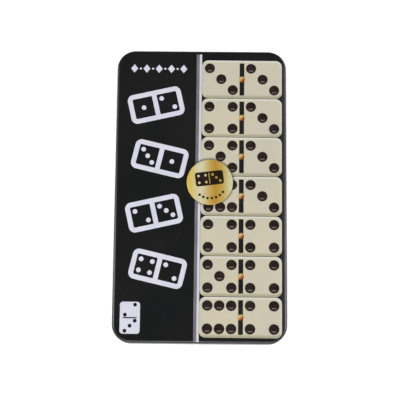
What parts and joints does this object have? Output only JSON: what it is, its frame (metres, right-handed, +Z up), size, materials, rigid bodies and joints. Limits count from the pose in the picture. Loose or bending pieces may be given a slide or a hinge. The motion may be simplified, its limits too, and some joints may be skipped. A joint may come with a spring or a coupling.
{
  "type": "domino storage box",
  "caption": "Flat black tin box with a lift-off embossed lid, a plastic tray with wells and a stacked set of ivory dominoes.",
  "frame": {"origin": "middle of the foot ring's underside, on the surface the box lies on", "axes": "+X to the right of the lid's picture, +Y along the length towards the top of the picture, +Z up through the lid"},
  "size_m": [0.11, 0.19, 0.0242],
  "materials": {
    "black_tin": "satin black lacquer",
    "black_plastic": "formed sheet, slight sheen",
    "brass": "polished",
    "ivory_resin": "polished resin with black painted pips",
    "ivory_enamel": "gloss print on embossed tin",
    "black_ink": "gloss print",
    "gold_print": "gloss metallic print",
    "grey_ink": "gloss print",
    "white_ink": "gloss print",
    "gold_foil": "brushed gold foil print"
  },
  "bodies": {
    "base": {"base": "black_tin", "tray": "black_plastic", "domino_0_0": "ivory_resin", "domino_1_0": "ivory_resin", "domino_2_0": "ivory_resin", "domino_3_0": "ivory_resin", "domino_4_0": "ivory_resin", "domino_5_0": "ivory_resin", "domino_6_0": "ivory_resin", "domino_1_1": "ivory_resin", "domino_2_1": "ivory_resin", "domino_3_1": "ivory_resin", "domino_4_1": "ivory_resin", "domino_5_1": "ivory_resin", "domino_6_1": "ivory_resin", "domino_2_2": "ivory_resin", "domino_3_2": "ivory_resin", "domino_4_2": "ivory_resin", "domino_5_2": "ivory_resin", "domino_6_2": "ivory_resin", "domino_3_3": "ivory_resin", "domino_4_3": "ivory_resin", "domino_5_3": "ivory_resin", "domino_6_3": "ivory_resin", "domino_4_4": "ivory_resin", "domino_5_4": "ivory_resin", "domino_6_4": "ivory_resin", "domino_5_5": "ivory_resin", "domino_6_5": "ivory_resin", "domino_6_6": "ivory_resin", "spinner_pins": "brass"},
    "lid": {"lid": "black_tin", "lid_tiles": "ivory_enamel", "lid_pips": "black_ink", "lid_bars": "black_ink", "lid_studs": "gold_print", "stripe_grey": "grey_ink", "stripe_white": "white_ink", "panel_motifs": "white_ink", "panel_row": "white_ink", "panel_badge": "white_ink", "seal": "gold_foil", "seal_crest": "black_ink"}
  },
  "joints": [
    {"name": "lid_lift", "type": "slide", "parent": "base", "child": "lid", "axis": [0, 0, 1], "range_m": [0, 0.09]}
  ]
}
